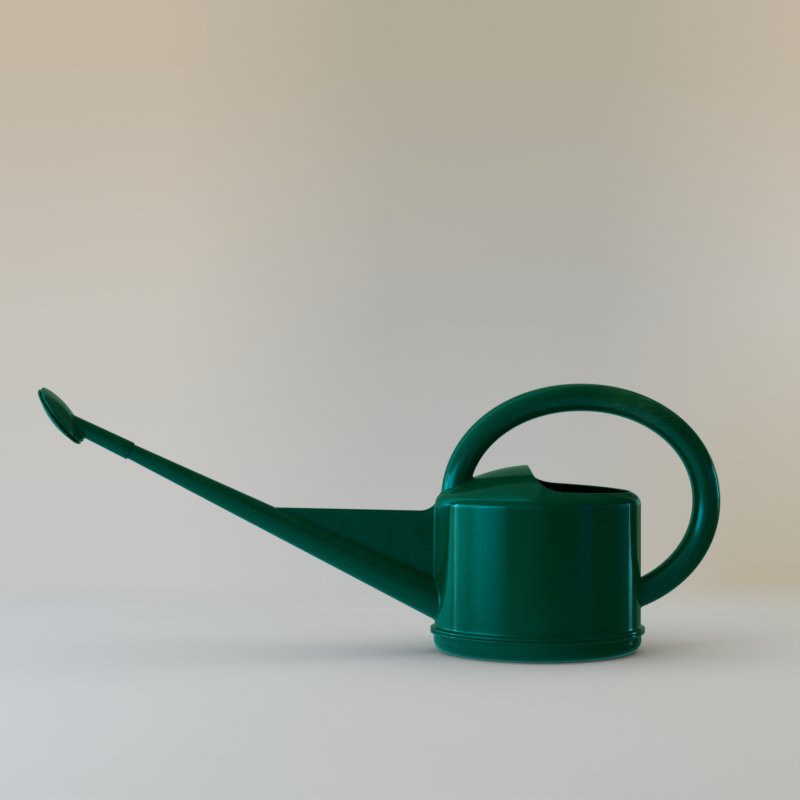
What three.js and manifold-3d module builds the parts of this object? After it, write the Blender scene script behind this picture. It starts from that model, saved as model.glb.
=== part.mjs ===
// A long-reach watering can in green moulded plastic, in millimetres with +Z up.
// The oval tank stands on z = 0, the spout reaches towards -X and the loop handle towards +X.
// Everything is first laid out about the tank's centre, and the whole can is then moved along X
// so that the origin is at the middle of its bounding box, on the floor.

import * as THREE from 'three';
import { mergeVertices } from 'three/addons/utils/BufferGeometryUtils.js';
import Module from 'manifold-3d';

const wasm = await Module();
wasm.setup();

// ---- driving dimensions ------------------------------------------------------------------

const GAP = 0.3;                    // clearance between pieces that touch
const CUT_MARGIN = 20;              // how far a cutting solid reaches past what it cuts

// Tank: an oval of half-length A and half-width B, a little narrower at the top (draft).
const OVAL_POWER = 1.85;            // 2 is an ellipse, less is more pointed
const OVAL_STEPS = 60;
const BASE_A = 114;                 // wall at the joint with the base
const BASE_B = 78.8;
const TOP_A = 113.4;                // wall at the shoulder
const TANK_WALL = 2.2;
const JOINT_Z = 24.3;               // level at which the tank meets the base pan
const DOME_EDGE_Z = 170.3;          // where the dome's curve would reach the wall
const DOME_RISE = 35.9;             // height of the dome's centre above that edge
const SHOULDER_R = 14;              // at the oval's ends
const SHOULDER_SIDE_R = 8;          // halfway along its sides
const SHOULDER_STEPS = 5;
const DOME_STEPS = 7;

// Double bead around the joint: the upper one belongs to the tank, the lower one to the base.
const BEAD_OUT = 4.6;               // how far the beads stand out from the wall
const BEAD_HEIGHT = 4.0;
const BEAD_R = 1.8;
const BEAD_STEPS = 4;
const BEAD_BLEND = 0.6;             // foot of the blend between bead and wall
const BEAD_BLEND_HEIGHT = 1;

// Base pan
const SKIRT_A = 114.8;
const BASE_CORNER_R = 13;
const FOOT_WIDTH = 8;
const FOOT_HEIGHT = 2.5;
const FOOT_SLOPE = 2;               // run of the foot's inner side
const FLOOR_THICK = 2.6;
const PAN_WALL = 3.2;
const BASE_OFFSET_BAND = 26;        // ring inside the wall in which both half-axes shrink alike

// Filling mouth: the dome is cut away above a curve that drops behind its crest.
const CREST_X = -11;
const MOUTH_FLAT_X = 30;
const MOUTH_FLAT_Z = 181.1;
const MOUTH_SLOPE = -0.05;
const CREST_LIFT = 0.05;            // the curve starts this far above the crest
const CREST_LEAD = [7, 19];         // run and fall that steer the curve at the crest
const FLAT_LEAD = [22, 0.7];        // run and rise that steer it at the flat
const MOUTH_STEPS = 10;

// Handle: a round tube bent to part of an oval.
const HANDLE_POWER = 2.05;
const HANDLE_X = 47;
const HANDLE_Z = 166;
const HANDLE_AX = 138.7;
const HANDLE_AZ = 114.4;
const HANDLE_R = 15.3;
const HANDLE_WALL = 2.2;
const HANDLE_START = Math.PI + 0.12;    // inside the front of the dome
const HANDLE_END = -1.14;               // inside the rear wall
const HANDLE_STEPS = 40;
const HANDLE_SIDES = 18;

// Spout: a straight cone. Lengths along it start where its axis leaves the tank wall.
const SPOUT_ANGLE = THREE.MathUtils.degToRad(26);
const SPOUT_X = -114.5;
const SPOUT_Z = 58.1;
const SPOUT_ROOT_R = 20.6;
const SPOUT_TAPER = 0.0325;         // loss of radius per millimetre of length
const SPOUT_LENGTH = 410;
const SPOUT_WALL = 2.0;
const SPOUT_SIDES = 32;
const ROOT_INSIDE = -18;            // far enough inside the tank to pass its wall

// Web: the flat plate between spout, tank and handle.
const WEB_THICK = 5;
const WEB_TIP = [-292.5, 159.2];
const WEB_BEND = [-130, 155.7];
const WEB_FILLET_R = 22;
const WEB_FILLET_TURN = THREE.MathUtils.degToRad(60);
const WEB_FILLET_STEPS = 8;
const WEB_INSIDE = 12;              // how far its outline reaches into the tank before it is cut
const WEB_ABOVE_AXIS = 10;          // its lowest point, above where the spout's axis leaves the tank

// Rose: a sleeve pushed over the spout's tip, a domed shell and a perforated face.
const SLEEVE_START = 371.8;
const SLEEVE_END = 445;
const SLEEVE_MOUTH_R = 10.1;
const SLEEVE_END_R = 8.7;
const SLEEVE_LEDGE_R = 6.2;         // bore beyond the spout's tip
const SLEEVE_LEDGE_GAP = 0.6;       // between the spout's tip and the ledge
const PASSAGE_BEYOND = 6;           // how far the sleeve's passage runs on past the sleeve
const ROSE_PLACE = 458.4;           // the rose's centre, along the spout's axis
const ROSE_TILT = THREE.MathUtils.degToRad(36.3);   // how far its face looks down
const ROSE_R = 37.2;
const ROSE_STEPS = 36;
const ROSE_SKIRT_IN = 2.8;          // the waist between the two rims, inside their edge
const ROSE_JOINT_Z = 3;             // where the back rim and the face's spigot end
const SHELL_BACK = 12.9;            // height of the dome's middle behind the rose's centre
const SHELL_WALL = 1.6;
const SHELL_FRONT = 1.6;
const SHELL_EDGE_IN = 0.8;          // edge of the dome, inside the rims' edge
const SHELL_EDGE_Z = 5.3;
const SHELL_INNER_Z = 4.5;
const SHELL_RIM = [0.2, 4.3];       // widest point of the back rim: inset and height
const SHELL_RIM_FOOT = 3.1;
const FACE_RISE = 8.6;
const FACE_WALL = 1.5;
const FACE_RIM = 1.3;               // half the thickness of the face's rim
const FACE_RIM_IN = 1.4;            // width of the bevels on it
const FACE_RIM_FLAT = 0.6;          // half its flat edge
const HOLE_R = 0.8;
const HOLE_RINGS = 4;
const HOLE_PITCH = 6.8;
const HOLE_SIDES = 6;

// ---- solids ------------------------------------------------------------------------------

// Turns a closed three.js geometry into a solid that can be cut and joined.
function toSolid(geometry) {
  geometry.deleteAttribute('normal');
  geometry.deleteAttribute('uv');
  const merged = mergeVertices(geometry, 1e-4);
  const index = merged.index.array;
  const triangles = [];
  for (let i = 0; i < index.length; i += 3) {
    const [a, b, c] = [index[i], index[i + 1], index[i + 2]];
    if (a !== b && b !== c && c !== a) triangles.push(a, b, c);
  }
  const solid = new wasm.Manifold(new wasm.Mesh({
    numProp: 3,
    vertProperties: new Float32Array(merged.attributes.position.array),
    triVerts: new Uint32Array(triangles),
  }));
  if (solid.volume() <= 0) throw new Error('a solid is inside out');
  return solid;
}

function toGeometry(solid) {
  const mesh = solid.getMesh();
  const geometry = new THREE.BufferGeometry();
  geometry.setAttribute('position', new THREE.BufferAttribute(mesh.vertProperties, 3));
  geometry.setIndex(new THREE.BufferAttribute(mesh.triVerts, 1));
  geometry.computeVertexNormals();
  return geometry;
}

// A profile of [radius, height] points from axis to axis, turned about Z.
function turned(profile, steps) {
  const points = profile.map(([radius, height]) => new THREE.Vector2(radius, height));
  return new THREE.LatheGeometry(points, steps).rotateX(Math.PI / 2);
}

// Bends a sine or cosine, so that a circle becomes an oval of the given power.
function bend(value, power) {
  return Math.sign(value) * Math.abs(value) ** (2 / power);
}

// Squeezes a turned shape into the tank's oval. Its radius becomes the half-length. Outside
// offsetFrom the half-width is the same amount narrower than the half-length everywhere, so
// that walls and beads keep their section, and inside it the two shrink in proportion.
function makeOval(geometry, offsetFrom) {
  const narrower = BASE_A - BASE_B;
  const position = geometry.attributes.position;
  for (let i = 0; i < position.count; i++) {
    const radius = Math.hypot(position.getX(i), position.getY(i));
    if (radius === 0) continue;
    const width = radius >= offsetFrom
      ? radius - narrower
      : radius * (offsetFrom - narrower) / offsetFrom;
    position.setX(i, radius * bend(position.getX(i) / radius, OVAL_POWER));
    position.setY(i, width * bend(position.getY(i) / radius, OVAL_POWER));
  }
  return geometry;
}

// Points of an arc from angle start to angle end, in radians from the profile's radial axis.
function arc([x, y], radius, start, end, steps) {
  return Array.from({ length: steps + 1 }, (_, i) => {
    const angle = start + (end - start) * i / steps;
    return [x + radius * Math.cos(angle), y + radius * Math.sin(angle)];
  });
}

// ---- tank --------------------------------------------------------------------------------

// The dome's outer height over a point at half-length a of the oval.
function domeHeight(a) {
  return DOME_EDGE_Z + DOME_RISE * (1 - (a / TOP_A) ** 2);
}

// Wall, rounded shoulder and dome, for a surface that lies inset inside the outer one.
function wallAndDome(inset, shoulderR) {
  const edgeSlope = Math.atan(2 * DOME_RISE / TOP_A);
  const turn = Math.PI / 2 - edgeSlope;
  const centre = [
    TOP_A - shoulderR,
    DOME_EDGE_Z - shoulderR * Math.tan(turn / 2),
  ];
  const shoulder = arc(centre, shoulderR - inset, 0, turn, SHOULDER_STEPS);
  const start = shoulder.at(-1)[0];
  const dome = Array.from({ length: DOME_STEPS }, (_, i) => {
    const a = start * (1 - (i + 1) / DOME_STEPS);
    return [a, domeHeight(a) - inset];
  });
  return [...shoulder, ...dome];
}

// Section of a bead whose middle is at the given height.
function bead(middle, radius) {
  return arc([BASE_A + BEAD_OUT - BEAD_R, middle], radius, -Math.PI / 2, Math.PI / 2, BEAD_STEPS);
}

// An oval solid whose shoulder is wide at the oval's ends and tight along its sides: a blend of
// two solids with the same number of corners, by the direction around the tank.
function blendedOval(profileOf, offsetFrom) {
  const round = turned(profileOf(SHOULDER_R), OVAL_STEPS);
  const position = round.attributes.position;
  const endShares = Array.from({ length: position.count }, (_, i) => {
    const reach = position.getX(i) ** 2 + position.getY(i) ** 2;
    return reach === 0 ? 1 : position.getX(i) ** 2 / reach;
  });
  makeOval(round, offsetFrom);
  const side = makeOval(turned(profileOf(SHOULDER_SIDE_R), OVAL_STEPS), offsetFrom);
  const corner = new THREE.Vector3();
  const sideCorner = new THREE.Vector3();
  endShares.forEach((share, i) => {
    corner.fromBufferAttribute(position, i);
    sideCorner.fromBufferAttribute(side.attributes.position, i);
    corner.lerp(sideCorner, 1 - share);
    position.setXYZ(i, corner.x, corner.y, corner.z);
  });
  return toSolid(round);
}

// The solid inside the tank's outer surface, swollen by extra so that it can cut a neighbour.
function tankOutside(extra) {
  const profileOf = (shoulderR) => [
    [0, JOINT_Z - extra],
    ...bead(JOINT_Z + BEAD_R, BEAD_R + extra),
    [BASE_A + BEAD_BLEND + extra, JOINT_Z + BEAD_HEIGHT + extra],
    [BASE_A + extra, JOINT_Z + BEAD_HEIGHT + BEAD_BLEND_HEIGHT + extra],
    ...wallAndDome(-extra, shoulderR),
  ];
  return blendedOval(profileOf, TOP_A + extra);
}

function tankInside() {
  const profileOf = (shoulderR) => [
    [0, JOINT_Z - CUT_MARGIN],
    [BASE_A - TANK_WALL, JOINT_Z - CUT_MARGIN],
    [BASE_A - TANK_WALL, JOINT_Z + BEAD_HEIGHT],
    ...wallAndDome(TANK_WALL, shoulderR),
  ];
  return blendedOval(profileOf, BASE_A - TANK_WALL);
}

// Everything above the mouth's curve, which falls steeply from the crest and runs out flat.
function mouthCutter() {
  const crestZ = domeHeight(CREST_X) + CREST_LIFT;
  const farX = TOP_A + CUT_MARGIN;
  const above = DOME_EDGE_Z + DOME_RISE + CUT_MARGIN;
  const outline = new THREE.Shape();
  outline.moveTo(CREST_X, above);
  outline.lineTo(CREST_X, crestZ);
  outline.bezierCurveTo(
    CREST_X + CREST_LEAD[0], crestZ - CREST_LEAD[1],
    MOUTH_FLAT_X - FLAT_LEAD[0], MOUTH_FLAT_Z + FLAT_LEAD[1],
    MOUTH_FLAT_X, MOUTH_FLAT_Z,
  );
  outline.lineTo(farX, MOUTH_FLAT_Z + MOUTH_SLOPE * (farX - MOUTH_FLAT_X));
  outline.lineTo(farX, above);
  return toSolid(extrudeAcross(outline, 2 * BASE_B + CUT_MARGIN, MOUTH_STEPS));
}

// Extrudes an outline drawn in X and Z by a depth that is centred on y = 0.
function extrudeAcross(outline, depth, curveSegments) {
  const geometry = new THREE.ExtrudeGeometry(outline, { depth, bevelEnabled: false, curveSegments });
  return geometry.translate(0, 0, -depth / 2).rotateX(Math.PI / 2);
}

function makeTankShell() {
  return tankOutside(0)
    .subtract(tankInside())
    .subtract(mouthCutter())
    .subtract(spoutBore());
}

function makeBasePan() {
  const top = JOINT_Z - GAP;
  const footOut = SKIRT_A - BASE_CORNER_R;
  const footIn = footOut - FOOT_WIDTH;
  const inner = BASE_A - PAN_WALL;
  const floorZ = FOOT_HEIGHT + FLOOR_THICK;
  const innerR = BASE_CORNER_R - PAN_WALL;
  const profile = [
    [0, FOOT_HEIGHT],
    [footIn - FOOT_SLOPE, FOOT_HEIGHT],
    [footIn, 0],
    ...arc([footOut, BASE_CORNER_R], BASE_CORNER_R, -Math.PI / 2, 0, SHOULDER_STEPS),
    [SKIRT_A, top - BEAD_HEIGHT - BEAD_BLEND_HEIGHT],
    [SKIRT_A + BEAD_BLEND, top - BEAD_HEIGHT],
    ...bead(top - BEAD_R, BEAD_R),
    [inner, top],
    ...arc([inner - innerR, floorZ + innerR], innerR, 0, -Math.PI / 2, 3),
    [0, floorZ],
  ];
  return toSolid(makeOval(turned(profile, OVAL_STEPS), SKIRT_A - BASE_OFFSET_BAND));
}

// ---- spout and rose: pieces along the spout's axis ----------------------------------------

// Stands a turned shape on the spout's axis, with its own zero where the axis leaves the tank.
function alongSpout(geometry) {
  return geometry
    .rotateY(-(Math.PI / 2 - SPOUT_ANGLE))
    .translate(SPOUT_X, 0, SPOUT_Z);
}

function spoutRadius(along) {
  return SPOUT_ROOT_R - SPOUT_TAPER * along;
}

// A solid cone on the spout's axis, extra wider than the spout's outside.
function spoutCone(extra, from, to) {
  const profile = [
    [0, from],
    [spoutRadius(from) + extra, from],
    [spoutRadius(to) + extra, to],
    [0, to],
  ];
  return toSolid(alongSpout(turned(profile, SPOUT_SIDES)));
}

function spoutBore() {
  return spoutCone(-SPOUT_WALL, ROOT_INSIDE, SPOUT_LENGTH + CUT_MARGIN);
}

function makeSpout() {
  return spoutCone(0, ROOT_INSIDE, SPOUT_LENGTH)
    .subtract(spoutBore())
    .subtract(tankOutside(GAP));
}

function makeSleeve() {
  const ledge = SPOUT_LENGTH + SLEEVE_LEDGE_GAP;
  const profile = [
    [spoutRadius(SLEEVE_START) + GAP, SLEEVE_START],
    [SLEEVE_MOUTH_R, SLEEVE_START],
    [SLEEVE_END_R, SLEEVE_END],
    [SLEEVE_LEDGE_R, SLEEVE_END],
    [SLEEVE_LEDGE_R, ledge],
    [spoutRadius(ledge) + GAP, ledge],
  ];
  profile.push(profile[0]);
  return toSolid(alongSpout(turned(profile, SPOUT_SIDES)));
}

// The sleeve's outer cone, GAP wider, which passes through the back of the rose.
function sleevePassage() {
  const slope = (SLEEVE_MOUTH_R - SLEEVE_END_R) / (SLEEVE_END - SLEEVE_START);
  const profile = [
    [0, SLEEVE_START],
    [SLEEVE_MOUTH_R + GAP, SLEEVE_START],
    [SLEEVE_END_R + GAP - slope * PASSAGE_BEYOND, SLEEVE_END + PASSAGE_BEYOND],
    [0, SLEEVE_END + PASSAGE_BEYOND],
  ];
  return toSolid(alongSpout(turned(profile, SPOUT_SIDES)));
}

// Places a turned shape on the rose's axis: its +Z points out of the back of the rose.
function onRose(geometry) {
  const x = SPOUT_X - ROSE_PLACE * Math.cos(SPOUT_ANGLE);
  const z = SPOUT_Z + ROSE_PLACE * Math.sin(SPOUT_ANGLE);
  return geometry.rotateY(Math.PI / 2 - ROSE_TILT).translate(x, 0, z);
}

// Points of a shallow cap from the given radius to the axis.
function cap(radius, edgeHeight, rise, steps) {
  return Array.from({ length: steps + 1 }, (_, i) => {
    const r = radius * (1 - i / steps);
    return [r, edgeHeight + rise * (1 - (r / radius) ** 2)];
  });
}

function makeRoseShell() {
  const skirtOut = ROSE_R - ROSE_SKIRT_IN;
  const skirtIn = skirtOut - SHELL_WALL;
  const edge = ROSE_R - SHELL_EDGE_IN;
  const outer = cap(edge, SHELL_EDGE_Z, SHELL_BACK - SHELL_EDGE_Z, 6);
  const inner = cap(skirtIn, SHELL_INNER_Z, SHELL_BACK - SHELL_WALL - SHELL_INNER_Z, 5);
  const profile = [
    [skirtIn, SHELL_FRONT],
    [skirtOut, SHELL_FRONT],
    [skirtOut, ROSE_JOINT_Z],
    [edge, SHELL_RIM_FOOT],
    [ROSE_R - SHELL_RIM[0], SHELL_RIM[1]],
    ...outer,
    ...inner.reverse(),
  ];
  profile.push(profile[0]);
  return toSolid(onRose(turned(profile, ROSE_STEPS))).subtract(sleevePassage());
}

function makeRoseFace() {
  const spigotOut = ROSE_R - ROSE_SKIRT_IN - SHELL_WALL - GAP;
  const spigotIn = spigotOut - FACE_WALL;
  const outer = cap(ROSE_R - FACE_RIM_IN, -FACE_RIM, FACE_RIM - FACE_RISE, 5);
  const inner = cap(spigotIn, -FACE_RIM, FACE_RIM + FACE_WALL - FACE_RISE, 4);
  const profile = [
    ...outer.reverse(),
    [ROSE_R, -FACE_RIM_FLAT],
    [ROSE_R, FACE_RIM_FLAT],
    [ROSE_R - FACE_RIM_IN, FACE_RIM],
    [spigotOut, FACE_RIM],
    [spigotOut, ROSE_JOINT_Z],
    [spigotIn, ROSE_JOINT_Z],
    ...inner,
  ];
  return toSolid(onRose(turned(profile, ROSE_STEPS))).subtract(roseHoles());
}

// Spray holes in rings about one in the middle.
function roseHoles() {
  const holes = [];
  for (let ring = 0; ring <= HOLE_RINGS; ring++) {
    const count = Math.max(1, 6 * ring);
    for (let i = 0; i < count; i++) {
      const angle = 2 * Math.PI * i / count;
      const away = ring * HOLE_PITCH;
      const hole = new THREE.CylinderGeometry(HOLE_R, HOLE_R, 2 * CUT_MARGIN, HOLE_SIDES)
        .rotateX(Math.PI / 2)
        .translate(away * Math.cos(angle), away * Math.sin(angle), 0);
      holes.push(toSolid(onRose(hole)));
    }
  }
  return holes.reduce((all, hole) => all.add(hole));
}

// ---- handle and web ----------------------------------------------------------------------

class HandleCurve extends THREE.Curve {
  constructor(start, end) {
    super();
    this.start = start;
    this.end = end;
  }

  getPoint(t, target = new THREE.Vector3()) {
    const angle = this.start + (this.end - this.start) * t;
    return target.set(
      HANDLE_X + HANDLE_AX * bend(Math.cos(angle), HANDLE_POWER),
      0,
      HANDLE_Z + HANDLE_AZ * bend(Math.sin(angle), HANDLE_POWER),
    );
  }
}

// The handle's tube from inside the front of the dome, over the top, to inside the rear wall.
function handleTube(radius, bore) {
  const section = new THREE.Shape();
  section.absarc(0, 0, radius, 0, 2 * Math.PI);
  if (bore > 0) {
    const hole = new THREE.Path();
    hole.absarc(0, 0, bore, 0, 2 * Math.PI);
    section.holes.push(hole);
  }
  return toSolid(new THREE.ExtrudeGeometry(section, {
    extrudePath: new HandleCurve(HANDLE_START, HANDLE_END),
    steps: HANDLE_STEPS,
    curveSegments: HANDLE_SIDES / 2,
    bevelEnabled: false,
  }));
}

function makeHandle() {
  return handleTube(HANDLE_R, HANDLE_R - HANDLE_WALL).subtract(tankOutside(GAP));
}

function makeWeb() {
  const filletZ = WEB_BEND[1] + WEB_FILLET_R;
  const inside = -TOP_A + WEB_INSIDE;
  const lowest = SPOUT_Z + WEB_ABOVE_AXIS;
  const outline = new THREE.Shape();
  outline.moveTo(WEB_TIP[0], WEB_TIP[1]);
  outline.lineTo(SPOUT_X, lowest);
  outline.lineTo(inside, lowest);
  outline.lineTo(inside, filletZ - WEB_FILLET_R * Math.cos(WEB_FILLET_TURN));
  outline.absarc(
    WEB_BEND[0], filletZ, WEB_FILLET_R,
    -Math.PI / 2 + WEB_FILLET_TURN, -Math.PI / 2, true,
  );
  return toSolid(extrudeAcross(outline, WEB_THICK, WEB_FILLET_STEPS))
    .subtract(spoutCone(GAP, ROOT_INSIDE, SPOUT_LENGTH))
    .subtract(tankOutside(GAP))
    .subtract(handleTube(HANDLE_R + GAP, 0));
}

// ---- the can -----------------------------------------------------------------------------

function plastic(color, roughness) {
  return new THREE.MeshStandardMaterial({ color, roughness, metalness: 0 });
}

function piece(name, solid, material) {
  const mesh = new THREE.Mesh(toGeometry(solid), material);
  mesh.name = name;
  return mesh;
}

const can = new THREE.Group();
can.add(
  piece('tank_shell', makeTankShell(), plastic(0x04563f, 0.3)),
  piece('base_pan', makeBasePan(), plastic(0x045640, 0.34)),
  piece('spout', makeSpout(), plastic(0x034c38, 0.36)),
  piece('spout_web', makeWeb(), plastic(0x033f2f, 0.4)),
  piece('handle', makeHandle(), plastic(0x034a37, 0.36)),
  piece('rose_sleeve', makeSleeve(), plastic(0x034c38, 0.38)),
  piece('rose_shell', makeRoseShell(), plastic(0x04523d, 0.3)),
  piece('rose_face', makeRoseFace(), plastic(0x04523d, 0.3)),
);

const box = new THREE.Box3().setFromObject(can);
can.position.x = -(box.min.x + box.max.x) / 2;
can.updateMatrixWorld(true);

export default can;
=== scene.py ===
import math

import bmesh
import bpy
import numpy as np
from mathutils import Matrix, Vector
from mathutils.bvhtree import BVHTree


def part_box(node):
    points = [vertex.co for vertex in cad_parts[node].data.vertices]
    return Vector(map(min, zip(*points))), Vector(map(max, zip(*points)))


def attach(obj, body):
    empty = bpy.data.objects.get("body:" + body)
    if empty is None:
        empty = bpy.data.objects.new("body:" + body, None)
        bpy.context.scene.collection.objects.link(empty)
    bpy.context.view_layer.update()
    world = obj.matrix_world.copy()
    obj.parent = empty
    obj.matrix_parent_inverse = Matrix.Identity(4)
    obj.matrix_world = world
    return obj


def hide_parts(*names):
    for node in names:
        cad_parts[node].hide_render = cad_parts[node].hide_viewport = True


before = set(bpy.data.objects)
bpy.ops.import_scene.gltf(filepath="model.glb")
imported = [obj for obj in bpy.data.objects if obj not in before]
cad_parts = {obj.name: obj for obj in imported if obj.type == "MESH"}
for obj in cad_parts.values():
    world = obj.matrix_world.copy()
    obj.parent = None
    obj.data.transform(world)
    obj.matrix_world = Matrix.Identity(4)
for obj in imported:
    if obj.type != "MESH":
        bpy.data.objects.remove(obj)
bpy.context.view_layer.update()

# ---- driving dimensions, in millimetres about the tank's centre ---------------------------
MM = 0.001
PAN_LOW, PAN_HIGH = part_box("base_pan")
TANK_X = (PAN_LOW.x + PAN_HIGH.x) / 2        # the tank's centre in the row frame, in metres
GAP = 0.3                                    # between pieces that touch

# Tank: an oval of half-length A and half-width B, with a double bead at its joint
OVAL_POWER = 1.85
OVAL_EASE = 0.06                             # rounds the oval's ends, which its power leaves pointed
OVAL_SIDES = 240
BEAD_OUT = 4.6
BEAD_R = 1.8
BEAD_LIP_R = 1.1                             # where the two beads face each other
BEAD_HEIGHT = 4.0
BASE_A = (PAN_HIGH.x - PAN_LOW.x) / 2 / MM - BEAD_OUT
BASE_B = (PAN_HIGH.y - PAN_LOW.y) / 2 / MM - BEAD_OUT
NARROWER = BASE_A - BASE_B
JOINT_Z = PAN_HIGH.z / MM + GAP
TOP_A = BASE_A - 0.6
TANK_WALL = 2.2
SHOULDER_R = 14                              # at the oval's ends
SHOULDER_SIDE_R = 8                          # halfway along its sides
DOME_EDGE_Z = 170.3
DOME_RISE = 35.9
DOME_RINGS = 34
LIP_R = TANK_WALL / 2                        # rounding of the mouth's lip

# Filling mouth: a curve drawn in X and Z, with the dome cut away above it
CREST_X = -11
MOUTH_FLAT_X = 30
MOUTH_FLAT_Z = 181.1
MOUTH_SLOPE = -0.05
MOUTH_CENTRE_X = 45

# Base pan
SKIRT_A = BASE_A + 0.8
BASE_CORNER_R = 13
FOOT_WIDTH = 8
FOOT_HEIGHT = 2.5
FLOOR_THICK = 2.6
PAN_WALL = 3.2
OFFSET_BAND = 26

# Handle: a round tube bent to part of an oval
HANDLE_POWER = 2.05
HANDLE_X, HANDLE_Z = 47, 166
HANDLE_AX, HANDLE_AZ = 138.7, 114.4
HANDLE_R = 15.3
HANDLE_START, HANDLE_END = math.pi + 0.12, -1.14

# Spout: a straight cone
SPOUT_ANGLE = math.radians(26)
SPOUT_X, SPOUT_Z = -114.5, 58.1
SPOUT_ROOT_R = 20.6
SPOUT_TAPER = 0.0325
SPOUT_LENGTH = 410
SPOUT_WALL = 2.0
SEAM_ANGLE = math.radians(16)                # how far above the spout's sides its moulding line runs
SEAM_RISE = 0.28

# Web between spout, tank and handle
WEB_THICK = 5
WEB_TIP = (-292.5, 159.2)
WEB_BEND = (-130, 155.7)
WEB_FILLET_R = 22

# Rose
SLEEVE_START, SLEEVE_END = 371.8, 445
SLEEVE_MOUTH_R, SLEEVE_END_R = 10.1, 8.7
SLEEVE_LEDGE_R = 6.2
ROSE_PLACE = 458.4
ROSE_TILT = math.radians(36.3)
ROSE_R = 37.2
SHELL_BACK = 12.9
SHELL_WALL = 1.6
FACE_RISE = 8.6
FACE_WALL = 1.5
HOLE_R = 0.8
HOLE_RINGS = 4
HOLE_PITCH = 6.8

# ---- looks ----------------------------------------------------------------------------------
# Greens, as (deep, light) pairs that clouds of noise mix
CAN_GREENS = ((0.0001, 0.044, 0.0155), (0.0002, 0.052, 0.019))
PART_GREENS = ((0.0001, 0.042, 0.0155), (0.0002, 0.050, 0.019))
HANDLE_GREENS = ((0.0001, 0.042, 0.0155), (0.0004, 0.050, 0.019))
DRAWN = (220, 220, 3)                        # flow marks that run up the wall
EVEN = (30, 30, 30)                          # flow marks alike in every direction
PAINTED_SHEEN_GREEN = (0.012, 0.095, 0.034)            # paler, browner green painted on the handle's top: a painted reflection of the warm backdrop
PAINTED_SHEEN_AT = (TANK_X + 0.110, -0.012, 0.278)    # the middle of the painted reflection
PAINTED_SHEEN_REACH = (0.015, 0.055)                  # where the painted reflection starts to fade, and where it ends

# Table, in metres in the row frame
TABLE_X = (-0.56, 0.80)
TABLE_Y = (-0.85, 0.40)
TABLE_FADE = 0.12
TABLE_DROP = 0.0002                          # keeps the table clear of the base
# The table's colour is painted light: a cool tint on the window side at the left, warmer and a little
# darker towards the right.
TABLE_COOL_LIGHT_TINT = ((0.72, 0.73, 0.75), (0.78, 0.79, 0.81))
TABLE_WARM_LIGHT_TINT = ((0.74, 0.72, 0.66), (0.80, 0.78, 0.72))

# What the can mirrors: (bearing in degrees from +X, colour, how far it carries on above the windows)
ROOM = (
    (-180, (0.02, 1.9, 1.8), 0),
    (-177, (4.0, 5.1, 4.9), 0),
    (-174.5, (0.10, 3.8, 3.6), 0),
    (-172, (0.02, 2.2, 2.15), 0),
    (-156, (0.01, 1.5, 1.4), 0),
    (-146, (0.02, 2.3, 2.4), 0),
    (-135, (0.01, 1.8, 2.0), 0),
    (-125, (0.01, 1.0, 1.05), 0),
    (-117, (0.01, 0.30, 0.25), 0),
    (-97, (0.01, 0.18, 0.20), 0),
    (-77, (0.01, 0.02, 0.01), 0),
    (-55, (0.01, 0.02, 0.04), 0),
    (-45, (0.01, 0.08, 0.28), 0),
    (-35, (0.01, 0.04, 0.04), 0),
    (-15, (0.01, 0.06, 0.06), 0),
    (7, (0.01, 0.25, 0.26), 0),
    (12, (0.02, 0.25, 0.22), 0),
    (14, (0.60, 2.8, 3.0), 0),
    (18.5, (0.60, 2.8, 3.0), 0),
    (20.5, (0.02, 0.12, 0.06), 0),
    (34, (0.02, 0.12, 0.06), 0.5),
    (44, (0.22, 0.40, 0.25), 0.2),
    (66, (0.02, 0.08, 0.04), 0),
    (80, (0.18, 0.38, 0.24), 1),
    (95, (0.14, 0.34, 0.21), 1),
    (115, (0.10, 0.36, 0.24), 1),
    (130, (0.05, 0.50, 0.38), 1),
    (145, (0.03, 0.95, 0.85), 1),
    (163, (0.02, 1.90, 1.75), 0.5),
    (173, (0.05, 2.7, 2.6), 0),
    (178, (0.02, 1.5, 1.4), 0),
    (180, (0.02, 1.9, 1.8), 0),
)
# How bright the windows are at each height, as a sine: dimmer towards the floor, bright sky above
HEIGHTS = (
    (-0.17, (0.6, 0.6, 0.6)),
    (-0.115, (1, 1, 1)),
    (-0.085, (1, 1, 1)),
    (-0.04, (2.0, 2.5, 2.9)),
)
CEILING_LEFT = (0.02, 0.75, 0.62)
CEILING_RIGHT = (0.02, 0.03, 0.02)
GROUND_LEFT = (0.03, 0.76, 0.78)
GROUND_RIGHT = (0.03, 0.10, 0.05)
SOFT_LEFT = (0.21, 0.23, 0.25)               # the room's light on dull surfaces
SOFT_RIGHT = (0.24, 0.225, 0.20)
WINDOW_TOP = (0.17, 0.23)                    # heights, as sines, between which parts of the room change
TABLE_LINE = (-0.22, -0.13)
BACKDROP_LOW = ((0.50, 0.51, 0.51), (0.56, 0.565, 0.57))
BACKDROP_CORNER = (0.48, 0.43, 0.33)
BACKDROP_MIDDLE = ((0.435, 0.43, 0.405), (0.575, 0.545, 0.49))
BACKDROP_HIGH = ((0.435, 0.40, 0.315), (0.555, 0.475, 0.375))

# Camera
IMAGE_PX = 800
FOCAL_PX = 1700                              # focal length, in pixels of an image IMAGE_PX wide
SENSOR_MM = 36
HORIZON_PX = 65                              # how far the horizon lies above the image's middle
CAMERA_AT = (TANK_X - 0.152, -1.86863, 0.34895)


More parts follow.
